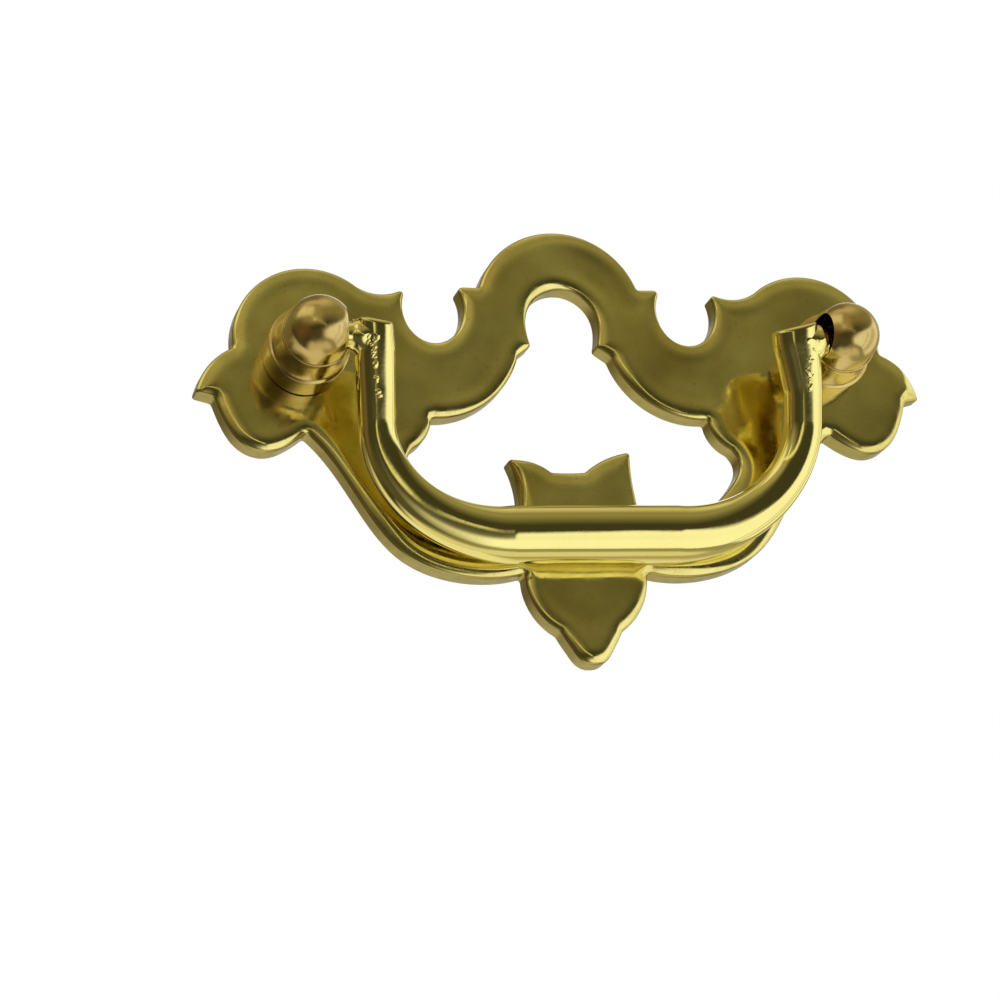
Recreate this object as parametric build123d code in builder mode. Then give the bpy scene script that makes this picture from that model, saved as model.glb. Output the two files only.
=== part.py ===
"""Pierced bail pull for a drawer: a cast backplate, two ball-headed posts, a swinging bail and two nuts.

Frame: +X to the right seen from the front, +Z up, the front faces -Y.
The origin lies midway between the posts, on their axis height and on the back face of the plate.
All sizes are in millimetres.
"""
from build123d import *
from math import asin, cos, radians, sin, sqrt
import os

# Backplate
post_spacing = 76.2
plate_thick = 3.6
plate_edge_round = 0.9
corner_round = 0.4
arch_outer_r = 12.3
arch_outer_z = 7.0
arch_sweep = 72
arch_inner_r = 5.35
arch_inner_z = 5.25
notch_x = 18.7
notch_z = 7.6
notch_width = 8.8
notch_depth = 5.15
notch_mouth = 102
shoulder_r = 11.05
shoulder_z = 2.2
plate_half_width = 53.3
leaf_tip_z = -44.4
fleuron_foot = (9.2, -24.9)

# Posts
ball_r = 4.66
ball_reach = 10.7
lip_r = 4.95
lip_reach = 9.2
collar_r = 5.7
collar_reach = 4.4
neck_r = 2.6
neck_clearance = 0.1
shank_r = 2.08
shank_plain_length = 14.0
thread_r = 1.82
shank_spare = 3.0
pin_hole_r = 3.0
pin_hole_reach = 11.1
pin_hole_past_centre = 0.5

# Bail
pin_r = 1.9
pin_gap = 0.05
pin_end_gap = 1.0
bail_slide = 0.2
leg_centre_x = 30.7
leg_width = 4.7
leg_depth = 4.5
leg_edge_round = 1.4
leg_bow = 0.1
leg_straight = 11.5
boot_above_pin = 2.45
boot_width = 5.3
boot_set_in = 0.6
boot_slope = 12
boot_round = 0.5
bar_straight = 12.0
bar_width = 8.05
bar_depth = 6.4
bar_edge_round = 3.0
bail_drop = 27.0
plate_gap = 0.5

# Nuts
drawer_front = 19.0
nut_across_flats = 8.73
nut_height = 3.18
nut_chamfer = 0.5

# Places that follow from the sizes above
post_x = post_spacing / 2
front_y = -plate_thick
ball_y = front_y - ball_reach
pin_y = front_y - pin_hole_reach
pin_sag = pin_hole_r - pin_r - pin_gap
shank_length = drawer_front + nut_height + shank_spare
rest_lean = asin((pin_hole_reach - plate_gap - bar_depth / 2) / bail_drop)
bail_plane = Plane(
    (bail_slide, pin_y, -pin_sag), x_dir=(1, 0, 0), z_dir=(0, -cos(rest_lean), -sin(rest_lean))
)

os.makedirs("parts", exist_ok=True)


def round_point(centre_x, centre_z, radius, angle):
    """A point on a circle, its angle counted from the right and upwards."""
    return (centre_x + radius * cos(radians(angle)), centre_z + radius * sin(radians(angle)))


def plate_outer_half():
    """The right half of the outer outline, from the top of the arch round to the tip of the leaf."""
    arch_top = (0, arch_outer_z + arch_outer_r)
    arch_mid = round_point(0, arch_outer_z, arch_outer_r, 90 - arch_sweep / 2)
    arch_end = round_point(0, arch_outer_z, arch_outer_r, 90 - arch_sweep)
    ThreePointArc(arch_top, arch_mid, arch_end)
    notch = EllipticalCenterArc(
        (notch_x, notch_z), notch_width / 2, notch_depth, 90 + notch_mouth / 2, arc_size=360 - notch_mouth
    )
    Line(arch_end, notch @ 0)
    shoulder_x = post_x - 1.5
    valley_end = round_point(shoulder_x, shoulder_z, shoulder_r, 130)
    shoulder_end = round_point(shoulder_x, shoulder_z, shoulder_r, -4)
    ThreePointArc(notch @ 1, (25.6, 9.6), valley_end)
    ThreePointArc(valley_end, (shoulder_x, shoulder_z + shoulder_r), shoulder_end)
    ear_tip = (plate_half_width, -5.15)
    ear_step = (50.7, -5.9)
    ThreePointArc(shoulder_end, (51.55, -1.6), ear_tip)
    Line(ear_tip, ear_step)
    lobe_joint = (38.2, -11.0)
    Spline(ear_step, (49.4, -9.5), (47.2, -12.6), (44.2, -13.75), (41.0, -12.85), lobe_joint)
    leaf_joint = (8.8, -31.3)
    Spline(lobe_joint, (34.9, -14.9), (31.1, -21.3), (25.8, -28.3), (17.0, -31.8), leaf_joint)
    leaf_waist = (4.5, -39.6)
    ThreePointArc(leaf_joint, (8.1, -35.3), leaf_waist)
    Spline(leaf_waist, (3.0, -42.2), (0, leaf_tip_z), tangents=[(-0.5, -1), (-1, 0)])


def plate_inner_half():
    """The right half of the piercing, from the top of the inner arch round to the foot of the fleuron."""
    arch_side = (arch_inner_r, arch_inner_z)
    foot_tip = (4.9, 2.1)
    foot_back = (6.9, 0.6)
    ThreePointArc(
        (0, arch_inner_z + arch_inner_r), round_point(0, arch_inner_z, arch_inner_r, 45), arch_side
    )
    Spline(arch_side, foot_tip, tangents=[(0, -1), (-0.25, -1)])
    Line(foot_tip, foot_back)
    step = (20.3, -8.75)
    scroll = (23.3, -13.2)
    ThreePointArc(foot_back, (11.3, -5.8), step)
    ThreePointArc(step, (21.2, -11.3), scroll)
    Spline(scroll, (24.3, -15.4), (22.2, -19.2), (16.2, -23.7), fleuron_foot)


def fleuron():
    """The two-horned ornament that stands up in the piercing; its horns differ, as they do in the casting."""
    right_horn = (8.1, -13.6)
    left_horn = (-9.8, -14.6)
    dip_right = (1.3, -16.6)
    dip_left = (-3.6, -16.6)
    left_foot = (-fleuron_foot[0], fleuron_foot[1])
    ThreePointArc(fleuron_foot, (8.15, -18.8), right_horn)
    ThreePointArc(right_horn, (5.0, -14.4), dip_right)
    Line(dip_right, dip_left)
    ThreePointArc(dip_left, (-6.4, -15.0), left_horn)
    ThreePointArc(left_horn, (-8.6, -19.0), left_foot)


def is_corner(vertex):
    """True where the outline turns, and not where a curve runs on smoothly at the middle or the arch foot."""
    on_middle = abs(vertex.X) < 0.1
    on_arch_side = abs(abs(vertex.X) - arch_inner_r) < 0.01 and abs(vertex.Y - arch_inner_z) < 0.01
    return not on_middle and not on_arch_side


with BuildPart() as backplate:
    with BuildSketch(Plane.XZ) as plate_profile:
        with BuildLine():
            plate_outer_half()
            mirror(about=Plane.YZ)
        make_face()
        with BuildLine():
            plate_inner_half()
            mirror(about=Plane.YZ)
            fleuron()
        make_face(mode=Mode.SUBTRACT)
        fillet(plate_profile.vertices().filter_by(is_corner), corner_round)
    extrude(amount=plate_thick)
    front_face = backplate.faces().sort_by(Axis.Y)[0]
    fillet(front_face.outer_wire().edges(), plate_edge_round)
    front_face = backplate.faces().sort_by(Axis.Y)[0]
    fillet(front_face.inner_wires()[0].edges(), plate_edge_round)
    with Locations(Plane.XZ):
        with Locations((-post_x, 0), (post_x, 0)):
            Hole(neck_r + neck_clearance)
backplate.part.label = "backplate"
export_step(backplate.part, "parts/backplate.step")


def post(side, name):
    """One post: collar, ball and cross hole in front of the plate, a neck in it and a threaded shank behind."""
    axis_x = side * post_x
    ball_foot_r = sqrt(ball_r**2 - (ball_reach - lip_reach) ** 2)
    ball_foot = (ball_foot_r, front_y - lip_reach)
    tip = (0, ball_y - ball_r)
    with BuildPart() as turned:
        with BuildSketch(Plane((axis_x, 0, 0))):
            with BuildLine():
                Polyline(
                    (0, shank_length),
                    (thread_r, shank_length),
                    (thread_r, shank_plain_length),
                    (shank_r, shank_plain_length),
                    (shank_r, 0),
                    (neck_r, 0),
                    (neck_r, front_y),
                    (collar_r, front_y),
                    (collar_r, front_y - collar_reach),
                    (lip_r, front_y - lip_reach),
                    ball_foot,
                )
                ThreePointArc(ball_foot, round_point(0, ball_y, ball_r, -45), tip)
                Line(tip, (0, shank_length))
            make_face()
        revolve(axis=Axis((axis_x, 0, 0), (0, 1, 0)))
        hole_floor = (axis_x + side * pin_hole_past_centre, pin_y, 0)
        with BuildSketch(Plane(hole_floor, z_dir=(-side, 0, 0))):
            Circle(pin_hole_r)
        extrude(amount=pin_hole_past_centre + collar_r, mode=Mode.SUBTRACT)
    turned.part.label = name
    export_step(turned.part, f"parts/{name}.step")
    return turned


def nut(side, name):
    """One hexagon nut, run up its shank as far as the back of the drawer front."""
    centre = (side * post_x, drawer_front, 0)
    corner_r = nut_across_flats / sqrt(3)
    with BuildPart() as hexagon:
        with BuildSketch(Plane(centre, z_dir=(0, 1, 0))):
            RegularPolygon(nut_across_flats / 2, 6, major_radius=False)
            Circle(thread_r, mode=Mode.SUBTRACT)
        extrude(amount=nut_height)
        with BuildSketch(Plane(centre)):
            with BuildLine():
                Polyline(
                    (0, 0),
                    (corner_r - nut_chamfer, 0),
                    (corner_r, nut_chamfer / 2),
                    (corner_r, nut_height - nut_chamfer / 2),
                    (corner_r - nut_chamfer, nut_height),
                    (0, nut_height),
                    close=True,
                )
            make_face()
        revolve(axis=Axis(centre, (0, 1, 0)), mode=Mode.INTERSECT)
    hexagon.part.label = name
    export_step(hexagon.part, f"parts/{name}.step")
    return hexagon


def bail_section(centre, along, width, depth, edge_round):
    """A rounded oblong across the bail's middle line, as deep as it is across the bail's own plane."""
    with BuildSketch(Plane(centre, x_dir=bail_plane.z_dir, z_dir=along)) as section:
        RectangleRounded(depth, width, edge_round)
    return section.sketch


def corner_section(path, place, share):
    """A section across the bail's corner, its sizes a share of the way from the leg's to the bar's."""
    width = leg_width + share * (bar_width - leg_width)
    depth = leg_depth + share * (bar_depth - leg_depth)
    edge_round = leg_edge_round + share * (bar_edge_round - leg_edge_round)
    return bail_section(path @ place, path % place, width, depth, edge_round)


def leg_section(below_pin, set_out, width):
    """A section across the leg at a height below the pin, moved outwards from the leg's middle line."""
    centre = bail_plane.from_local_coords((leg_centre_x + set_out, -below_pin, 0))
    return bail_section(centre, bail_plane.y_dir, width, leg_depth, leg_edge_round)


post_left = post(-1, "post_left")
post_right = post(1, "post_right")
nut_left = nut(-1, "nut_left")
nut_right = nut(1, "nut_right")

with BuildPart() as bail:
    with BuildLine(bail_plane):
        corner_line = EllipticalCenterArc(
            (bar_straight, -leg_straight), leg_centre_x - bar_straight, bail_drop - leg_straight, -90, arc_size=90
        )
    bar_end = corner_section(corner_line, 0, 1)
    leg_top = leg_section(leg_straight, 0, leg_width)
    corner_sections = [
        bar_end,
        corner_section(corner_line, 0.5, 0.4),
        corner_section(corner_line, 0.8, 0.1),
        leg_top,
    ]
    leg_sections = [
        leg_top,
        leg_section(0.6 * leg_straight, leg_bow, leg_width),
        leg_section(pin_r, -boot_set_in / 2, (leg_width + boot_width) / 2),
        leg_section(-boot_above_pin, -boot_set_in, boot_width),
    ]
    extrude(bar_end, amount=bar_straight, dir=-bail_plane.x_dir)
    sweep(sections=corner_sections, path=corner_line, multisection=True)
    loft(sections=leg_sections)
    boot_outer_x = leg_centre_x - boot_set_in + boot_width / 2
    boot_corner = bail_plane.from_local_coords((boot_outer_x, boot_above_pin, 0))
    boot_up = bail_plane.y_dir * cos(radians(boot_slope)) - bail_plane.x_dir * sin(radians(boot_slope))
    split(bisect_by=Plane(boot_corner, z_dir=boot_up), keep=Keep.BOTTOM)
    boot_top = bail.faces().sort_by(Axis((0, 0, 0), bail_plane.y_dir))[-1]
    fillet(boot_top.edges(), boot_round)
    pin_length = post_x + pin_hole_past_centre - pin_end_gap - leg_centre_x
    with BuildSketch(Plane((leg_centre_x + bail_slide, pin_y, -pin_sag), z_dir=(1, 0, 0))):
        Circle(pin_r)
    extrude(amount=pin_length)
    mirror(about=Plane((bail_slide, 0, 0), z_dir=(1, 0, 0)))
bail.part.label = "bail"
export_step(bail.part, "parts/bail.step")
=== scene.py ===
"""Looks for the pierced bail pull: cast and polished brass, a pale floor and soft studio light.

Lengths are in millimetres up to build(), which turns them into the metres of the frame.
"""
import bpy
import math
import random
import numpy as np
from mathutils import Matrix, Vector, kdtree
from mathutils import noise as field
from mathutils.geometry import delaunay_2d_cdt


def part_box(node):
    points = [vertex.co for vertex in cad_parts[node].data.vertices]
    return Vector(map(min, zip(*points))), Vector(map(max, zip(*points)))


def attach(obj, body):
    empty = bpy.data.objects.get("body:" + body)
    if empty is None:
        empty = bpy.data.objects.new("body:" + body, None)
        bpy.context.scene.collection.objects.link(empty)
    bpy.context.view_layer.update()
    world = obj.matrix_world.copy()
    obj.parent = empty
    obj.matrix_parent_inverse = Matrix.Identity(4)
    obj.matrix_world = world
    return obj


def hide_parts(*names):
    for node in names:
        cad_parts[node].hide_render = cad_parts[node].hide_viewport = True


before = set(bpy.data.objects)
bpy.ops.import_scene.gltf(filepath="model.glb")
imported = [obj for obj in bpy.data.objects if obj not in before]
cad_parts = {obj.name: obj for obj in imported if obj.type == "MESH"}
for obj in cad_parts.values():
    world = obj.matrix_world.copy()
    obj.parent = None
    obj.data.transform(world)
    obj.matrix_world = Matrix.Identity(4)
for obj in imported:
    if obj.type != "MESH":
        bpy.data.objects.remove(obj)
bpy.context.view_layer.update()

MM = 0.001
PLATE_THICK = -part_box("backplate")[0].y / MM

# These repeat the sizes of the part's source.
POST_X = 38.1
BALL_R = 4.66
BALL_REACH = 10.7
LIP_R = 4.95
LIP_REACH = 9.2
COLLAR_R = 5.7
COLLAR_REACH = 4.4
NECK_R = 2.6
SHANK_R = 2.08
SHANK_LENGTH = 25.18
SHANK_PLAIN = 14.0
HOLE_R = 3.0
HOLE_REACH = 11.1
HOLE_PAST_CENTRE = 0.5
PIN_R = 1.9
PIN_SAG = 1.05
PIN_END_GAP = 1.0
BAIL_SLIDE = 0.2
BAIL_DROP = 27.0
LEG_X = 30.7
LEG_STRAIGHT = 11.5
LEG_WIDTH = 4.7
LEG_DEPTH = 4.5
BAR_STRAIGHT = 12.0
BAR_WIDTH = 8.05
BAR_DEPTH = 6.4
BAR_GAP = 0.5
BOOT_TOP = 2.45
BOOT_SLOPE = 12

# The bail is shaped in its own plane: x to the right, y up from the pins' axis, z out towards the front.
PIN_PLACE = (BAIL_SLIDE, -PLATE_THICK - HOLE_REACH, -PIN_SAG)
REST_LEAN = math.asin((HOLE_REACH - BAR_GAP - BAR_DEPTH / 2) / BAIL_DROP)


def build(name, verts, faces, smooth_angle, tint=None):
    """A mesh object from millimetre points, smooth where faces meet at less than smooth_angle degrees.

    tint, where given, is a share of polish for each point.
    """
    mesh = bpy.data.meshes.new(name)
    mesh.from_pydata([tuple(v) for v in np.asarray(verts) * MM], [], faces)
    mesh.validate()
    if tint is not None:
        polish = mesh.attributes.new("polish", "FLOAT", "POINT")
        polish.data.foreach_set("value", np.asarray(tint, np.float32))
    piece = bpy.data.objects.new(name, mesh)
    bpy.context.scene.collection.objects.link(piece)
    smooth(piece, smooth_angle)
    return piece


def choose(piece):
    """Make one object the only selected one, and the active one."""
    bpy.ops.object.select_all(action="DESELECT")
    bpy.context.view_layer.objects.active = piece
    piece.select_set(True)


def smooth(piece, angle):
    """Shade a piece smooth except where its faces meet at more than an angle in degrees."""
    choose(piece)
    bpy.ops.object.shade_smooth_by_angle(angle=math.radians(angle))


def dress(piece, node, material, body):
    """Put a finished piece in the place of its CAD node."""
    piece.data.materials.clear()
    piece.data.materials.append(material)
    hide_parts(node)
    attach(piece, body)


def full_turn(around):
    """Evenly spaced angles of one turn, in radians."""
    return np.arange(around) * 2 * math.pi / around


def tube(rings, around):
    """Faces of a closed tube: between its rings, each of as many points around, and over both ends."""
    faces = [
        (
            j * around + i,
            j * around + (i + 1) % around,
            (j + 1) * around + (i + 1) % around,
            (j + 1) * around + i,
        )
        for j in range(rings - 1)
        for i in range(around)
    ]
    faces.append(tuple(range(around - 1, -1, -1)))
    faces.append(tuple(range((rings - 1) * around, rings * around)))
    return faces


def flip(faces):
    """The faces turned over."""
    return [face[::-1] for face in faces]


# The backplate

# The tips of the outline's horns beside its notches, at the right and mirrored at the left.
HORN_TIPS = [(15.2, 10.8), (22.2, 10.9)]
HORN_REACH = 1.2

OUTLINE_SPACING = 0.2
FACET_SOFTNESS = 0.12
HORN_SOFTNESS = 0.6

# Where the rows of points that follow the rims lie on the face, and where the even grid within them starts.
RIM_ROWS = (0.03, 0.1, 0.2, 0.34, 0.52, 0.75, 1.0, 1.3, 1.7, 2.2, 2.8)
CLOSE_ROWS = 0.6
GRID_START = 3.2
GRID_GAP = 0.7
BORE_CLEARANCE = 0.3

# The face falls back at its rim in a broad polished roll-off, and then in a small round at the very edge.
ROLL_REACH = 2.3
ROLL_DROP = 0.62
EDGE_REACH = 0.35
EDGE_DROP = 0.3

# The edge's round is wider along the fleuron's left horn.
WORN_PLACE = (-8.8, -18.0)
WORN_SPREAD = (2.2, 3.5)
WORN_REACH = 1.0
WORN_DROP = 1.2

# The hollows fade out towards the rim, and the polish stops just at it.
HOLLOW_FADE = 2.5
POLISH_FADE = 0.25

# The right ear slopes back towards its end.
EAR_X = 50.6
EAR_FOOT_Z = -8.0
EAR_FADE = 2.5
EAR_SLOPE = 0.25
EAR_SOFTNESS = 0.15


def back_loops(mesh):
    """The closed outlines of the plate's back face, y = 0, each an array of (x, z) in millimetres."""
    co = np.empty(len(mesh.vertices) * 3)
    mesh.vertices.foreach_get("co", co)
    co = co.reshape(-1, 3) / MM
    places = {}
    ids = [places.setdefault((round(x, 3), round(z, 3)), len(places)) for x, _, z in co]
    edges = set()
    for polygon in mesh.polygons:
        corners = polygon.vertices
        if all(abs(co[i][1]) < 0.01 for i in corners):
            ring = [ids[i] for i in corners]
            edges |= {(a, b) for a, b in zip(ring, ring[1:] + ring[:1])}
    following = {a: b for a, b in edges if (b, a) not in edges}
    points = np.array(list(places))
    loops = []
    while following:
        start, here = following.popitem()
        loop = [start]
        while here != start:
            loop.append(here)
            here = following.pop(here)
        loops.append(points[loop])
    return sorted(loops, key=len, reverse=True)


def smooth_outline(loop, spacing, softness):
    """The outline at even spacing, on a curve through its points, its facets softened."""
    ahead = np.roll(loop, -1, 0) - loop
    length = np.linalg.norm(ahead, axis=1)[:, None]
    chord = ahead / length
    length_before = np.roll(length, 1, 0)
    chord_before = np.roll(chord, 1, 0)
    tangent = (chord_before * length + chord * length_before) / (length + length_before)
    tangent /= np.linalg.norm(tangent, axis=1)[:, None]
    dense = []
    for i in range(len(loop)):
        j = (i + 1) % len(loop)
        t = np.arange(0, 1, 1 / math.ceil(length[i, 0] / (0.25 * spacing)))[:, None]
        h00, h10 = 2 * t**3 - 3 * t**2 + 1, t**3 - 2 * t**2 + t
        h01, h11 = -2 * t**3 + 3 * t**2, t**3 - t**2
        dense.append(
            h00 * loop[i] + h10 * length[i] * tangent[i] + h01 * loop[j] + h11 * length[i] * tangent[j]
        )
    dense = np.concatenate(dense)
    step = np.linalg.norm(np.roll(dense, -1, 0) - dense, axis=1)
    along = np.concatenate([[0], np.cumsum(step)])
    count = round(along[-1] / spacing)
    places = np.arange(count) * along[-1] / count
    even = [np.interp(places, along, np.append(dense[:, k], dense[0, k])) for k in (0, 1)]
    blur = np.exp(-2 * (math.pi * softness / spacing * np.fft.fftfreq(count)) ** 2)
    return np.stack([np.fft.ifft(np.fft.fft(e) * blur).real for e in even], axis=1)


def rim_distance(points, rims):
    """How far each point is from the nearest rim line."""
    starts = np.concatenate(rims)
    ends = np.concatenate([np.roll(rim, -1, 0) for rim in rims])
    firsts = np.cumsum([0] + [len(rim) for rim in rims[:-1]])
    before = np.concatenate([np.roll(np.arange(len(rim)), 1) + first for rim, first in zip(rims, firsts)])
    tree = kdtree.KDTree(len(starts))
    for i, (x, z) in enumerate(starts):
        tree.insert((x, z, 0), i)
    tree.balance()
    nearest = np.array([tree.find((x, z, 0))[1] for x, z in points], int)
    best = np.full(len(points), np.inf)
    for segment in (nearest, before[nearest]):
        a, b = starts[segment], ends[segment]
        share = np.clip(((points - a) * (b - a)).sum(1) / ((b - a) ** 2).sum(1), 0, 1)
        best = np.minimum(best, np.linalg.norm(points - a - share[:, None] * (b - a), axis=1))
    return best


def inside(points, loops):
    """True for points inside an odd number of loops."""
    x, z = points[:, 0], points[:, 1]
    odd = np.zeros(len(points), bool)
    for loop in loops:
        for (x0, z0), (x1, z1) in zip(loop, np.roll(loop, -1, 0)):
            if z0 != z1:
                odd ^= ((z0 > z) != (z1 > z)) & (x < (x1 - x0) * (z - z0) / (z1 - z0) + x0)
    return odd


def rim_drop(away, x, z):
    """How far the face falls back at points a distance away from the rim."""
    roll = np.clip(1 - away / ROLL_REACH, 0, 1) ** 2
    worn = np.exp(-sum(((p - c) / s) ** 2 for p, c, s in zip((x, z), WORN_PLACE, WORN_SPREAD)))
    edge = np.clip(1 - away / (EDGE_REACH + WORN_REACH * worn), 0, 1)
    edge_round = 1 - np.sqrt(1 - edge**2)
    beyond = x - EAR_X
    ear = EAR_SLOPE * (beyond + np.sqrt(beyond**2 + EAR_SOFTNESS))
    ear *= np.clip((z - EAR_FOOT_Z) / EAR_FADE, 0, 1)
    roll_drop = ROLL_DROP * roll * (1 - 0.5 * np.clip(ear, 0, 1))
    return roll_drop + (EDGE_DROP + WORN_DROP * worn) * edge_round + ear


def hollows(x, z, scale, layer):
    """Smooth noise over the face; scale counts features per millimetre."""
    return np.array([field.noise(Vector((a * scale, b * scale, layer))) for a, b in zip(x, z)])


def hammer(x, z):
    """The depth of the slight hollows that hand polishing leaves in the plate's face."""
    broad_depth, broad_scale, broad_layer = 0.42, 0.08, 3.7
    close_depth, close_scale, close_layer = 0.07, 0.21, 9.1
    broad = hollows(x, z, broad_scale, broad_layer)
    close = hollows(x, z, close_scale, close_layer)
    return broad_depth * (0.5 + broad) + close_depth * (0.5 + close)


def blunt_horns(loop, blunter):
    """The outline with the tips of the horns beside the notches more rounded than its other corners."""
    x, z = np.abs(loop[:, 0]), loop[:, 1]
    pull = sum(np.exp(-((x - tip_x) ** 2 + (z - tip_z) ** 2) / HORN_REACH**2) for tip_x, tip_z in HORN_TIPS)
    pull = np.clip(pull, 0, 1)[:, None]
    return loop * (1 - pull) + blunter * pull


def cut_sheet(points, edges, loops):
    """Triangles of the metal between the loops: the points, the faces, and where each given point went."""
    cut = delaunay_2d_cdt([Vector(p) for p in points], edges, [], 0, 1e-5)
    place = np.array([tuple(p) for p in cut[0]])
    corners = np.array(cut[2])
    corners = corners[inside(place[corners].mean(1), loops)]
    faces = [tuple(f) if anticlockwise(place, f) else tuple(reversed(f)) for f in corners.tolist()]
    return place, faces, {source: i for i, sources in enumerate(cut[3]) for source in sources}


def anticlockwise(points, corners):
    """True where a flat polygon's corners run anticlockwise."""
    ring = points[list(corners)]
    x, z = ring[:, 0], ring[:, 1]
    return (x * np.roll(z, -1) - np.roll(x, -1) * z).sum() > 0


def left_of_start(loop):
    """A point just to the left of a loop's run at its first point."""
    run = loop[1] - loop[0]
    return loop[0] + 0.02 * np.array([-run[1], run[0]]) / np.linalg.norm(run)


def face_points(rims, bores, loops):
    """Points of the face inside its outlines: rows that follow the rims, and an even grid further in."""
    found = []
    for reach in RIM_ROWS:
        for rim in rims:
            turn = np.roll(rim, -1, 0) - np.roll(rim, 1, 0)
            turn /= np.linalg.norm(turn, axis=1)[:, None]
            into_metal = np.stack([-turn[:, 1], turn[:, 0]], axis=1)
            if not inside(rim[:1] + 0.02 * into_metal[:1], loops)[0]:
                into_metal *= -1
            stride = 1 if reach < CLOSE_ROWS else 2
            row = (rim + reach * into_metal)[::stride]
            row = row[inside(row, loops)]
            found.append(row[rim_distance(row, rims) > 0.97 * reach])
    low, high = rims[0].min(0), rims[0].max(0)
    across, up = [np.arange(low[k], high[k], GRID_GAP) for k in (0, 1)]
    grid = np.stack(np.meshgrid(across, up), -1).reshape(-1, 2)
    grid = grid[inside(grid, loops)]
    found.append(grid[rim_distance(grid, rims) > GRID_START])
    found = np.concatenate(found)
    return found[rim_distance(found, bores) > BORE_CLEARANCE]


def add_backplate():
    """The plate: its face polished and softly hollowed, rolled off at the rim, its sides left as cast."""
    loops = []
    for loop in back_loops(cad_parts["backplate"].data):
        crisp = smooth_outline(loop, OUTLINE_SPACING, FACET_SOFTNESS)
        loops.append(blunt_horns(crisp, smooth_outline(loop, OUTLINE_SPACING, HORN_SOFTNESS)))
    rims, bores = loops[:2], loops[2:]
    outline = np.concatenate(loops)
    starts = np.cumsum([0] + [len(loop) for loop in loops])
    edges = [
        (a + i, a + (i + 1) % (b - a)) for a, b in zip(starts, starts[1:]) for i in range(b - a)
    ]
    flat = np.concatenate([outline, face_points(rims, bores, loops)])
    place, faces, came_from = cut_sheet(flat, edges, loops)
    away = rim_distance(place, rims)
    inland = np.clip(away / HOLLOW_FADE, 0, 1)
    face_y = -PLATE_THICK + rim_drop(away, *place.T) + hammer(*place.T) * inland
    verts = [np.stack([place[:, 0], face_y, place[:, 1]], axis=1)]
    polish = [np.clip(away / POLISH_FADE, 0, 1)]
    # The sides: rows of the outline from the face by way of the middle down to the back.
    ladder = [[came_from[i] for i in range(len(outline))]]
    rim_y = face_y[ladder[0]]
    total = len(place)
    for share in (0.5, 0.0):
        verts.append(np.stack([outline[:, 0], share * rim_y, outline[:, 1]], axis=1))
        polish.append(np.zeros(len(outline)))
        ladder.append(list(range(total, total + len(outline))))
        total += len(outline)
    outward = inside(np.array([left_of_start(outline)]), loops)[0]
    for upper, lower in zip(ladder, ladder[1:]):
        for a, b in edges:
            quad = (upper[a], upper[b], lower[b], lower[a])
            faces.append(quad if outward else quad[::-1])
    _, back_faces, back_from = cut_sheet(outline, edges, loops)
    source_of = {i: source for source, i in back_from.items()}
    faces += [tuple(ladder[-1][source_of[i]] for i in reversed(f)) for f in back_faces]
    return build("backplate_cast", np.concatenate(verts), faces, 45, np.concatenate(polish))


# The bail

# Sections are superellipses; a greater power is squarer.
LEG_POWER = 3.6
BAR_POWER = 2.45

# The legs as cast wander. For each height from the pins: how far to the right each leg stands, and how much
# further its sides reach.
WANDER_HEIGHTS = (-27.0, -20.0, -14.0, -11.5, -7.0, -3.4, -1.9, 0.0, 2.45)
LEG_SHIFT = {
    1: (0, 0, 0.1, 0.2, 0.27, -0.17, -0.45, -0.8, -0.9),
    -1: (0, 0, 0.03, 0.07, 0, -0.08, -0.13, -0.1, -0.2),
}
LEG_SPREAD = {
    1: (0, 0, 0.08, 0.15, 0.17, 0.55, 0.62, 0.63, 0.75),
    -1: (0, 0, 0.05, 0.1, 0.22, 0.3, 0.33, 0.1, 0.05),
}

# The right leg is also turned a little towards the middle, in degrees.
RIGHT_LEG_TURN = 3.4

# The height at which the boots start to slope.
SLOPE_START = -2.0


def wander(table, line):
    """A leg table read at each place of the bail's line, with its corners eased."""
    lowest, highest, step, ease = -30, 6, 0.1, 20
    heights = np.arange(lowest, highest, step)
    window = np.hanning(ease + 1)
    eased = np.convolve(np.interp(heights, WANDER_HEIGHTS, table), window / window.sum(), "same")
    return np.interp(line[:, 1], heights[ease:-ease], eased[ease:-ease])


def bail_line():
    """The bail's middle line from boot to boot, with each place's share of the bar, and its extra reach."""
    rows = []
    for x in np.arange(0, BAR_STRAIGHT, 0.4):
        rows.append((x, -BAIL_DROP, 1.0))
    turns = 80
    for k in range(turns):
        t = k / turns
        angle = math.radians(-90 + 90 * t)
        x = BAR_STRAIGHT + (LEG_X - BAR_STRAIGHT) * math.cos(angle)
        y = -LEG_STRAIGHT + (BAIL_DROP - LEG_STRAIGHT) * math.sin(angle)
        rows.append((x, y, (1 - t) ** 1.3))
    for y in np.arange(-LEG_STRAIGHT, BOOT_TOP, 0.25):
        rows.append((LEG_X, y, 0.0))
    right = np.array(rows)
    left = right[:0:-1] * (-1, 1, 1)
    line = np.concatenate([left, right])
    spread = np.zeros(len(line))
    for side in (-1, 1):
        leg = side * line[:, 0] > BAR_STRAIGHT
        spread[leg] = wander(LEG_SPREAD[side], line[leg])
        line[leg, 0] += wander(LEG_SHIFT[side], line[leg])
    return line, spread


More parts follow.
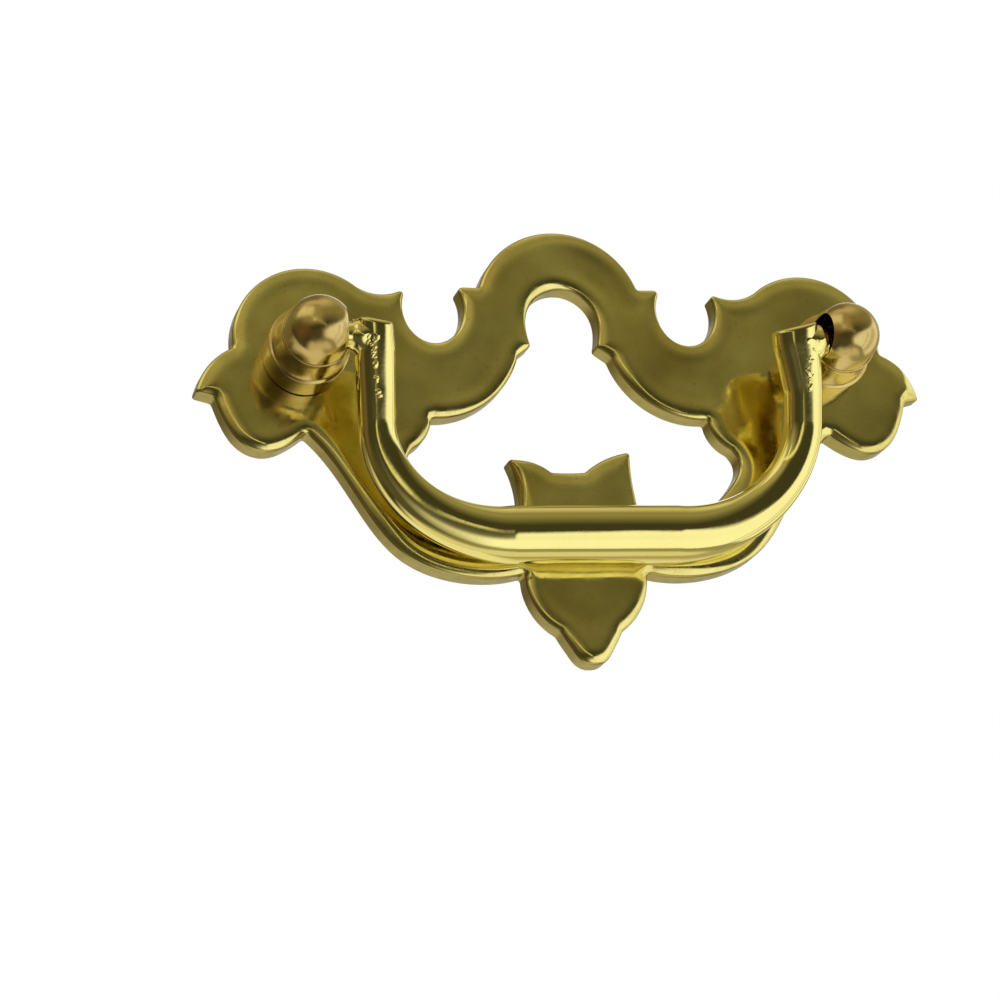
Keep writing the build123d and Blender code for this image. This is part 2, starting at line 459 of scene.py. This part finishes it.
def bail_surface():
    """Rings of points round the bail in its own plane's coordinates."""
    turn = full_turn(112)
    line, spread = bail_line()
    centre, share = line[:, :2], line[:, 2]
    run = np.gradient(centre, axis=0)
    run /= np.linalg.norm(run, axis=1)[:, None]
    outward = np.stack([run[:, 1], -run[:, 0]], axis=1)
    half_width = (LEG_WIDTH + share * (BAR_WIDTH - LEG_WIDTH)) / 2 + spread
    half_depth = (LEG_DEPTH + share * (BAR_DEPTH - LEG_DEPTH)) / 2
    power = LEG_POWER - share * (LEG_POWER - BAR_POWER)
    twist = np.radians(np.interp(centre[:, 0], (BAR_STRAIGHT, LEG_X - 1), (0, RIGHT_LEG_TURN)))
    rings = []
    for c, o, w, d, p, turned in zip(centre, outward, half_width, half_depth, power, twist):
        a = w * np.sign(np.cos(turn)) * np.abs(np.cos(turn)) ** (2 / p)
        b = d * np.sign(np.sin(turn)) * np.abs(np.sin(turn)) ** (2 / p)
        a, b = a * math.cos(turned) - b * math.sin(turned), b * math.cos(turned) + a * math.sin(turned)
        rings.append(np.stack([c[0] + a * o[0], c[1] + a * o[1], b], axis=1))
    return np.array(rings)


def slope_boots(rings):
    """Tilt each leg's last rings more and more, so that the boots slope down towards the middle."""
    slope = math.tan(math.radians(BOOT_SLOPE))
    for side, from_end in ((-1, rings), (1, rings[::-1])):
        for ring in from_end:
            height = ring[:, 1].mean()
            if height < SLOPE_START:
                break
            share = (height - SLOPE_START) / (BOOT_TOP - SLOPE_START)
            outer = (side * ring[:, 0]).max()
            ring[:, 1] -= share * slope * (outer - side * ring[:, 0])


def boot_cap(ring):
    """Rings that round a boot's top over and close in on its middle."""
    inset, rise, sink, crown = 0.55, 0.45, 0.1, 0.06
    middle = ring.mean(0)
    spokes = ring - middle
    reach = np.linalg.norm(spokes, axis=1)[:, None]
    steps = []
    for angle in (20, 40, 60, 75, 90):
        a = math.radians(angle)
        lift = np.array([0, rise * math.sin(a) - sink, 0])
        steps.append(middle + spokes * (1 - inset * (1 - math.cos(a)) / reach) + lift)
    last = steps[-1]
    centre = last.mean(0)
    for keep in (0.75, 0.45, 0.15):
        steps.append(centre + (last - centre) * keep + np.array([0, crown * (1 - keep), 0]))
    return steps


def to_rest(points):
    """Points of the bail's own plane, at rest in the frame, in millimetres."""
    right = np.array([1, 0, 0])
    up = np.array([0, -math.sin(REST_LEAN), math.cos(REST_LEAN)])
    out = np.array([0, -math.cos(REST_LEAN), -math.sin(REST_LEAN)])
    return np.array(PIN_PLACE) + points[:, :1] * right + points[:, 1:2] * up + points[:, 2:3] * out


def add_bail():
    """The bail: a swept bar with booted legs, its pins, and the beads of metal where they were cast on."""
    rings = bail_surface()
    slope_boots(rings)
    rows = boot_cap(rings[0])[::-1] + list(rings) + boot_cap(rings[-1])
    around = len(rings[0])
    verts = np.concatenate(rows)
    ripple = np.array([field.noise(Vector(v) * 0.13) for v in verts])[:, None]
    centre_line = np.repeat(np.array([row.mean(0) for row in rows]), around, axis=0)
    away = verts - centre_line
    away /= np.maximum(np.linalg.norm(away, axis=1), 0.1)[:, None]
    shells = [(verts + 0.05 * ripple * away, tube(len(rows), around))]
    for side in (-1, 1):
        shells.append(pin_shell(side))
        shells.extend(bead_shells(side))
    points, polygons = [], []
    total = 0
    for shell_verts, shell_faces in shells:
        points.append(shell_verts)
        polygons += [tuple(i + total for i in f) for f in shell_faces]
        total += len(shell_verts)
    return build("bail_cast", to_rest(np.concatenate(points)), polygons, 50)


def pin_ring(x, radius, turn):
    """A ring round the pins' axis."""
    return np.stack([np.full(len(turn), x), radius * np.sin(turn), radius * np.cos(turn)], axis=1)


def pin_shell(side):
    """One pin, with the thickened root under it and the rough collar round it where the metal ran in."""
    root_height, root_end, root_run, root_side = 1.5, 3.9, 2.2, math.radians(-85)
    collar_height, collar_roughness, collar_start, collar_run = 0.36, 0.07, 2.5, 1.2
    end_round = 0.3
    turn = full_turn(64)
    length = POST_X + HOLE_PAST_CENTRE - PIN_END_GAP - LEG_X
    under = np.clip(np.cos(turn - root_side), 0, 1) ** 3
    rows = []
    for x in [*np.linspace(0, 5.2, 40), length - end_round]:
        root = root_height * np.clip((root_end - x) / root_run, 0, 1) ** 1.6
        collar = 0.5 * (1 + math.cos(math.pi * np.clip((x - collar_start) / collar_run, 0, 1)))
        rough = [field.noise(Vector((x, math.cos(a), math.sin(a))) * 1.2) for a in turn]
        radius = PIN_R + root * under + collar * (collar_height + collar_roughness * np.array(rough))
        rows.append(pin_ring(LEG_X + x, radius, turn))
    for angle in (30, 60, 90):
        a = math.radians(angle)
        radius = PIN_R - end_round * (1 - math.cos(a))
        rows.append(pin_ring(LEG_X + length - end_round + end_round * math.sin(a), radius, turn))
    faces = tube(len(rows), len(turn))
    return np.concatenate(rows) * (side, 1, 1), flip(faces) if side > 0 else faces


# Where the beads lie on the bail's front: sideways, height from the pins, spread and count.
BEADS = {
    1: [
        (33.4, 0.9, 0.4, 5), (32.8, -0.2, 0.4, 4), (31.8, -1.5, 0.3, 4), (31.3, -2.8, 0.25, 4),
        (31.1, -4.2, 0.25, 4), (31.3, -5.5, 0.35, 5), (31.1, -6.5, 0.25, 3),
    ],
    -1: [
        (33.6, 1.0, 0.4, 4), (33.2, 0.2, 0.4, 5), (32.4, -0.5, 0.4, 5), (31.5, -1.4, 0.35, 5),
        (31.7, -2.3, 0.35, 4), (31.3, -4.0, 0.2, 2), (31.1, -6.0, 0.2, 2), (30.9, -8.4, 0.2, 2),
    ],
}


def front_depth(x, y, side):
    """How far the leg's or the pin's front lies before the pins' axis."""
    middle = side * LEG_X + np.interp(y, WANDER_HEIGHTS, LEG_SHIFT[side])
    half_width = LEG_WIDTH / 2 + np.interp(y, WANDER_HEIGHTS, LEG_SPREAD[side])
    across = min(abs(side * x - middle) / half_width, 1.0)
    leg = LEG_DEPTH / 2 * (1 - across**LEG_POWER) ** (1 / LEG_POWER)
    pin = math.sqrt(max(PIN_R**2 - y**2, 0.0))
    return max(leg, pin)


def bead_shells(side):
    """Small drops and folds of metal round the pin's root and down the leg, half sunk in its face."""
    rng = random.Random(11 + side)
    shells = []
    for x, y, spread, count in BEADS[side]:
        for _ in range(count):
            size = rng.uniform(0.26, 0.5)
            x_at, y_at = x + rng.uniform(-spread, spread), y + rng.uniform(-0.7, 0.7)
            centre = (x_at, y_at, front_depth(x_at, y_at, side) - 0.3 * size)
            stretch = (rng.uniform(0.8, 1.2), rng.uniform(0.8, 1.5), 0.6)
            shells.append(bead(centre, size, stretch, side))
    return shells


def bead(centre, size, stretch, side):
    """One lumpy drop of metal."""
    around, rows = 14, 8
    verts = []
    for j in range(1, rows):
        tilt = math.pi * j / rows
        for i in range(around):
            turn = 2 * math.pi * i / around
            way = Vector((math.sin(tilt) * math.cos(turn), math.sin(tilt) * math.sin(turn), math.cos(tilt)))
            lump = 1 + 0.25 * field.noise((way + Vector(centre)) * 1.7)
            verts.append([c + w * size * s * lump for c, w, s in zip(centre, way, stretch)])
    faces = tube(rows - 1, around)
    return np.array(verts) * (side, 1, 1), flip(faces) if side > 0 else faces


# The posts

def lathe_ring(axis_x, radius, y, turn):
    """A ring round the line through (axis_x, 0) along y."""
    return np.stack([axis_x + radius * np.cos(turn), np.full(len(turn), y), radius * np.sin(turn)], axis=1)


def corner_arc(corner, before, after, radius):
    """Points that round a profile's corner."""
    steps = 5
    corner, before, after = map(np.array, (corner, before, after))
    to_before = (before - corner) / np.linalg.norm(before - corner)
    to_after = (after - corner) / np.linalg.norm(after - corner)
    half = math.acos(np.clip(to_before @ to_after, -1, 1)) / 2
    setback = radius / math.tan(half)
    between = (to_before + to_after) / np.linalg.norm(to_before + to_after)
    centre = corner + between * radius / math.sin(half)
    start, end = corner + to_before * setback, corner + to_after * setback
    first = math.atan2(*(start - centre)[::-1])
    last = math.atan2(*(end - centre)[::-1])
    sweep = (last - first + math.pi) % (2 * math.pi) - math.pi
    angles = [first + sweep * k / steps for k in range(steps + 1)]
    return [tuple(centre + radius * np.array([math.cos(a), math.sin(a)])) for a in angles]


def post_profile():
    """The radius and y of a post's head: neck, collar with its ledge and cove, lip and ball."""
    front = -PLATE_THICK
    ball_y = front - BALL_REACH
    collar_foot = (COLLAR_R, front)
    rim = (COLLAR_R, front - COLLAR_REACH)
    ledge = (5.3, front - 4.55)
    cove = [(5.08, front - 5.2), (4.9, front - 6.4), (4.76, front - 7.6)]
    under_lip = (4.72, front - 8.4)
    lip = (LIP_R, front - LIP_REACH)
    ball_foot = (4.41, front - LIP_REACH)
    # The neck starts inside the shank and closes to a small flat end there.
    profile = [(0.3, 0.5), (NECK_R, 0.5), (NECK_R, front), collar_foot]
    profile += corner_arc(rim, collar_foot, ledge, 0.14)
    profile += [ledge, *cove, under_lip]
    profile += corner_arc(lip, under_lip, ball_foot, 0.16)
    start = math.atan2(ball_y - ball_foot[1], ball_foot[0])
    ball_turns = 36
    for k in range(ball_turns):
        angle = -start + (math.pi / 2 + start) * k / ball_turns
        profile.append((BALL_R * math.cos(angle), ball_y - BALL_R * math.sin(angle)))
    return profile


def add_post(side, node):
    """One post: a turned head with softened rims, its cross hole bored, and a threaded shank."""
    axis_x = side * POST_X
    turn = full_turn(128)
    rows = [lathe_ring(axis_x, radius, y, turn) for radius, y in post_profile()]
    head = build(node + "_turned", np.concatenate(rows), tube(len(rows), len(turn)), 30)
    drill_start = 7.0
    turn = full_turn(96)
    hole_y = -PLATE_THICK - HOLE_REACH + HOLE_R * np.cos(turn)
    hole_z = HOLE_R * np.sin(turn)
    ends = sorted((axis_x + side * HOLE_PAST_CENTRE, axis_x - side * drill_start))
    rows = [np.stack([np.full(len(turn), x), hole_y, hole_z], axis=1) for x in ends]
    drill = build("drill", np.concatenate(rows), tube(len(rows), len(turn)), 30)
    bore = head.modifiers.new("bore", "BOOLEAN")
    bore.operation = "DIFFERENCE"
    bore.solver = "EXACT"
    bore.object = drill
    for piece in (head, drill):
        choose(piece)
        bpy.ops.object.mode_set(mode="EDIT")
        bpy.ops.mesh.select_all(action="SELECT")
        bpy.ops.mesh.normals_make_consistent(inside=False)
        bpy.ops.object.mode_set(mode="OBJECT")
    choose(head)
    bpy.ops.object.modifier_apply(modifier="bore")
    bpy.data.objects.remove(drill)
    return join(head, shank(axis_x, node), 30)


def join(first, second, angle):
    """Two objects made one."""
    choose(first)
    second.select_set(True)
    bpy.ops.object.join()
    smooth(first, angle)
    return first


def shank(axis_x, node):
    """The shank behind the plate, with a cut thread along its end."""
    pitch, thread_depth, flank, crest, chamfer = 0.794, 0.46, 1.25, 0.12, 0.5
    turn = full_turn(64)
    threaded = np.arange(SHANK_PLAIN, SHANK_LENGTH - 0.01, pitch / 10)
    rows = []
    for y in [0.2, 6.0, SHANK_PLAIN - 0.5, *threaded, SHANK_LENGTH]:
        phase = (y / pitch - turn / (2 * math.pi)) % 1.0
        groove = np.clip(flank * (1 - np.abs(2 * phase - 1)) - crest, 0, 1)
        fade = np.clip((y - SHANK_PLAIN) / pitch, 0, 1)
        tip = np.clip((SHANK_LENGTH - y) / chamfer, 0, 1)
        radius = (SHANK_R - thread_depth * groove * fade) * (0.84 + 0.16 * tip)
        rows.append(lathe_ring(axis_x, radius, y, turn))
    return build(node + "_shank", np.concatenate(rows), flip(tube(len(rows), len(turn))), 50)


# The nuts

def smooth_copy(node, name, angle):
    """A welded copy of a CAD node, its edges a little softened."""
    piece = bpy.data.objects.new(name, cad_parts[node].data.copy())
    bpy.context.scene.collection.objects.link(piece)
    weld = piece.modifiers.new("weld", "WELD")
    weld.merge_threshold = 0.002 * MM
    bevel = piece.modifiers.new("bevel", "BEVEL")
    bevel.width = 0.12 * MM
    bevel.segments = 2
    bevel.limit_method = "ANGLE"
    bevel.angle_limit = math.radians(40)
    choose(piece)
    bpy.ops.object.modifier_apply(modifier="weld")
    bpy.ops.object.modifier_apply(modifier="bevel")
    smooth(piece, angle)
    return piece


# Materials

def node_tree(owner):
    """An empty node tree of a material or world, with its nodes and links."""
    owner.use_nodes = True
    owner.node_tree.nodes.clear()
    return owner.node_tree.nodes, owner.node_tree.links


def noise(nodes, links, coords, scale, detail=3.0, roughness=0.5):
    """Noise on the object's own coordinates; scale counts features per metre."""
    texture = nodes.new("ShaderNodeTexNoise")
    texture.inputs["Scale"].default_value = scale
    texture.inputs["Detail"].default_value = detail
    texture.inputs["Roughness"].default_value = roughness
    links.new(coords, texture.inputs["Vector"])
    return texture.outputs["Fac"]


def remap(nodes, links, value, low, high, to_low=0.0, to_high=1.0, smooth_step=False):
    """The value moved from one range to another, clamped."""
    spread = nodes.new("ShaderNodeMapRange")
    spread.interpolation_type = "SMOOTHSTEP" if smooth_step else "LINEAR"
    spread.inputs["From Min"].default_value = low
    spread.inputs["From Max"].default_value = high
    spread.inputs["To Min"].default_value = to_low
    spread.inputs["To Max"].default_value = to_high
    links.new(value, spread.inputs["Value"])
    return spread.outputs["Result"]


def maths(nodes, links, operation, *values):
    """A Math node; each value is a socket or a number."""
    step = nodes.new("ShaderNodeMath")
    step.operation = operation
    for socket, value in zip(step.inputs, values):
        if isinstance(value, (int, float)):
            socket.default_value = value
        else:
            links.new(value, socket)
    return step.outputs["Value"]


def blend(nodes, links, factor, first, second):
    """A colour mix; the colours are sockets or triples."""
    tone = nodes.new("ShaderNodeMix")
    tone.data_type = "RGBA"
    links.new(factor, tone.inputs["Factor"])
    for socket, colour in ((tone.inputs["A"], first), (tone.inputs["B"], second)):
        if isinstance(colour, tuple):
            socket.default_value = (*colour, 1)
        else:
            links.new(colour, socket)
    return tone.outputs["Result"]


def brass(name, bright, dull, gloss, satin, cast=None, bump_height=0.006, speck=0.35):
    """Brass whose tone and gloss wander; cast, where given, is the tone of the unpolished sides."""
    material = bpy.data.materials.new(name)
    nodes, links = node_tree(material)
    coords = nodes.new("ShaderNodeTexCoord").outputs["Object"]
    shader = nodes.new("ShaderNodeBsdfPrincipled")
    shader.inputs["Metallic"].default_value = 1.0
    clouds = remap(nodes, links, noise(nodes, links, coords, 90, detail=6.0, roughness=0.6), 0.36, 0.66)
    colour = blend(nodes, links, clouds, bright, dull)
    specks = remap(nodes, links, noise(nodes, links, coords, 2600, detail=2.0), 0.62, 0.74, 0.0, speck)
    colour = blend(nodes, links, specks, colour, tuple(0.45 * c for c in dull))
    rough = remap(nodes, links, noise(nodes, links, coords, 700, detail=4.0), 0.35, 0.7, gloss, satin)
    grain = noise(nodes, links, coords, 1500)
    if cast:
        polish = nodes.new("ShaderNodeAttribute")
        polish.attribute_name = "polish"
        unpolished = maths(nodes, links, "SUBTRACT", 1.0, polish.outputs["Fac"])
        colour = blend(nodes, links, unpolished, colour, cast)
        rough = maths(nodes, links, "ADD", rough, maths(nodes, links, "MULTIPLY", unpolished, 0.25))
    links.new(colour, shader.inputs["Base Color"])
    links.new(rough, shader.inputs["Roughness"])
    bump = nodes.new("ShaderNodeBump")
    bump.inputs["Strength"].default_value = 0.3
    bump.inputs["Distance"].default_value = bump_height * MM
    links.new(grain, bump.inputs["Height"])
    links.new(bump.outputs["Normal"], shader.inputs["Normal"])
    output = nodes.new("ShaderNodeOutputMaterial")
    links.new(shader.outputs["BSDF"], output.inputs["Surface"])
    return material


PLATE_BRASS = brass(
    "plate_brass", (0.86, 0.78, 0.33), (0.68, 0.57, 0.20), 0.08, 0.18,
    cast=(0.40, 0.33, 0.11), bump_height=0.0012,
)
BAIL_BRASS = brass("bail_brass", (0.87, 0.79, 0.34), (0.84, 0.74, 0.30), 0.03, 0.07, speck=0.1)
POST_BRASS = brass("post_brass", (0.68, 0.54, 0.25), (0.58, 0.43, 0.17), 0.16, 0.26)
NUT_BRASS = brass("nut_brass", (0.85, 0.74, 0.34), (0.80, 0.68, 0.30), 0.2, 0.35)

dress(add_backplate(), "backplate", PLATE_BRASS, "mounting")
dress(add_bail(), "bail", BAIL_BRASS, "bail")
dress(add_post(-1, "post_left"), "post_left", POST_BRASS, "mounting")
dress(add_post(1, "post_right"), "post_right", POST_BRASS, "mounting")
for nut in ("nut_left", "nut_right"):
    dress(smooth_copy(nut, nut + "_finished", 25), nut, NUT_BRASS, "mounting")


# Camera, floor and light

def add_camera():
    """The photograph's viewpoint: a long lens, below the handle and to its left, rolled a little."""
    right = Vector((0.95987, -0.266728, -0.0866353))
    down = Vector((-0.000522095, 0.307221, -0.951638))
    forward = Vector((0.280445, 0.913494, 0.294753))
    place = Vector((-151.80, -456.43 - PLATE_THICK, -168.12)) * MM
    camera = bpy.data.objects.new("camera", bpy.data.cameras.new("camera"))
    camera.data.sensor_width = 36
    camera.data.lens = 130.35
    camera.data.clip_start = 0.01
    turn = Matrix((right, -down, -forward)).transposed()
    camera.matrix_world = Matrix.Translation(place) @ turn.to_4x4()
    bpy.context.scene.collection.objects.link(camera)
    bpy.context.scene.camera = camera


def add_floor():
    """A plain pale floor well under the handle, in metres."""
    side, depth_below = 1.5, 0.26
    mesh = bpy.data.meshes.new("floor")
    corners = [(-side, -side, 0), (side, -side, 0), (side, side, 0), (-side, side, 0)]
    mesh.from_pydata(corners, [], [(0, 1, 2, 3)])
    floor = bpy.data.objects.new("floor", mesh)
    floor.location.z = -depth_below
    floor.visible_glossy = False
    bpy.context.scene.collection.objects.link(floor)
    material = bpy.data.materials.new("floor")
    nodes, links = node_tree(material)
    shader = nodes.new("ShaderNodeBsdfPrincipled")
    shader.inputs["Base Color"].default_value = (0.86, 0.86, 0.85, 1)
    shader.inputs["Roughness"].default_value = 0.9
    shader.inputs["Specular IOR Level"].default_value = 0.1
    output = nodes.new("ShaderNodeOutputMaterial")
    links.new(shader.outputs["BSDF"], output.inputs["Surface"])
    mesh.materials.append(material)


def add_floor_light():
    """A wide soft neutral light over the floor, which polished metal doesn't mirror, in metres and watts."""
    light = bpy.data.lights.new("floor_light", "AREA")
    light.shape = "DISK"
    light.size = 1.2
    light.energy = 17
    lamp = bpy.data.objects.new("floor_light", light)
    lamp.location = (0, -0.1, 1.3)
    lamp.visible_glossy = False
    bpy.context.scene.collection.objects.link(lamp)


# Panels of the studio as the metal sees them. Azimuth runs from the front towards the right, and elevation
# from the level upwards; slant is the elevation less climb times the azimuth. All are in degrees, as
# (low, high), and edge is half the width of a panel's soft border. A later panel covers an earlier one.
PANELS = [
    dict(azimuth=(-70, -2), elevation=(0, 70), edge=12, colour=(0.42, 0.36, 0.18)),
    dict(azimuth=(-105, -50), elevation=(-32, 12), edge=18, colour=(0.17, 0.11, 0.05)),
    dict(azimuth=(-60, 12), elevation=(-62, -22), edge=12, colour=(0.10, 0.09, 0.05)),
    dict(azimuth=(100, 150), elevation=(-90, 75), edge=20, colour=(0.46, 0.42, 0.24)),
    dict(azimuth=(-100, -32), elevation=(31, 62), edge=7, colour=(0.95, 0.9, 0.6)),
    dict(azimuth=(-48, 12.5), slant=(-3.2, 0.0), climb=-0.72, edge=1.5, colour=(0.95, 0.9, 0.5)),
    dict(azimuth=(-31, -25), elevation=(9, 17), edge=2, colour=(1.2, 1.2, 1.0)),
    dict(
        azimuth=(14.8, 112), elevation=(-48, 90), slant=(-99, -22), climb=0.54,
        edge=2, colour=(1.15, 1.15, 1.0),
    ),
    dict(azimuth=(2, 24), elevation=(-48, -22), edge=12, colour=(0.85, 0.82, 0.62)),
    dict(azimuth=(8, 60), elevation=(-44, -21), edge=5, colour=(1.15, 1.15, 1.0)),
    dict(azimuth=(-20, 100), elevation=(-60, -52), edge=5, colour=(0.34, 0.32, 0.17)),
    dict(azimuth=(56, 59), elevation=(-48, 0), edge=1.5, colour=(0.3, 0.28, 0.15)),
    dict(azimuth=(72, 90), elevation=(-48, 14), edge=6, colour=(0.75, 0.72, 0.5)),
]

# The direction from the camera to the handle, which is the middle of the white backdrop.
AHEAD = (0.28, 0.91, 0.30)


def panel_mask(nodes, links, panel, azimuth, elevation):
    """One inside a panel and none outside it, with soft edges."""
    measures = {"azimuth": azimuth, "elevation": elevation}
    if "slant" in panel:
        rise = maths(nodes, links, "MULTIPLY", azimuth, panel["climb"])
        measures["slant"] = maths(nodes, links, "SUBTRACT", elevation, rise)
    edge = panel["edge"]
    mask = None
    for name, measure in measures.items():
        if name in panel:
            low, high = panel[name]
            for start, end in ((low - edge, low + edge), (high + edge, high - edge)):
                side = remap(nodes, links, measure, start, end, smooth_step=True)
                mask = side if mask is None else maths(nodes, links, "MULTIPLY", mask, side)
    return mask


def add_world():
    """White to the camera; to the metal, a dim warm room with bright panels, and paler paper low behind."""
    world = bpy.data.worlds.new("studio")
    bpy.context.scene.world = world
    nodes, links = node_tree(world)
    direction = nodes.new("ShaderNodeTexCoord").outputs["Generated"]
    way = nodes.new("ShaderNodeSeparateXYZ")
    links.new(direction, way.inputs["Vector"])
    towards_front = maths(nodes, links, "MULTIPLY", way.outputs["Y"], -1.0)
    azimuth = maths(nodes, links, "DEGREES", maths(nodes, links, "ARCTAN2", way.outputs["X"], towards_front))
    elevation = maths(nodes, links, "DEGREES", maths(nodes, links, "ARCSINE", way.outputs["Z"]))
    room = remap(nodes, links, elevation, 2, 34)
    colour = blend(nodes, links, room, (0.055, 0.05, 0.026), (0.31, 0.28, 0.13))
    top = remap(nodes, links, elevation, 50, 74)
    colour = blend(nodes, links, top, colour, (0.72, 0.64, 0.40))
    ground = remap(nodes, links, elevation, -46, -60)
    colour = blend(nodes, links, ground, colour, (0.8, 0.76, 0.52))
    low_behind = remap(nodes, links, elevation, 2, -14)
    paper = blend(nodes, links, low_behind, (0.24, 0.2, 0.09), (0.95, 0.9, 0.66))
    turned_away = maths(nodes, links, "ABSOLUTE", azimuth)
    behind = remap(nodes, links, turned_away, 110, 150, smooth_step=True)
    colour = blend(nodes, links, behind, colour, paper)
    for panel in PANELS:
        mask = panel_mask(nodes, links, panel, azimuth, elevation)
        colour = blend(nodes, links, mask, colour, panel["colour"])
    # The white backdrop, which the camera sees and which metal mirrors where it lies behind the handle.
    ahead = nodes.new("ShaderNodeVectorMath")
    ahead.operation = "DOT_PRODUCT"
    ahead.inputs[1].default_value = AHEAD
    links.new(direction, ahead.inputs[0])
    backdrop = remap(nodes, links, ahead.outputs["Value"], 0.86, 0.93, smooth_step=True)
    rays = nodes.new("ShaderNodeLightPath")
    glossy, through = rays.outputs["Is Glossy Ray"], rays.outputs["Is Transmission Ray"]
    mirrored = maths(nodes, links, "MULTIPLY", maths(nodes, links, "MAXIMUM", glossy, through), backdrop)
    shown = maths(nodes, links, "MAXIMUM", rays.outputs["Is Camera Ray"], mirrored)
    colour = blend(nodes, links, shown, colour, (1.0, 1.0, 1.0))
    background = nodes.new("ShaderNodeBackground")
    background.inputs["Strength"].default_value = 1.0
    links.new(colour, background.inputs["Color"])
    output = nodes.new("ShaderNodeOutputWorld")
    links.new(background.outputs["Background"], output.inputs["Surface"])


add_camera()
add_floor()
add_floor_light()
add_world()
bpy.context.scene.view_settings.view_transform = "Standard"
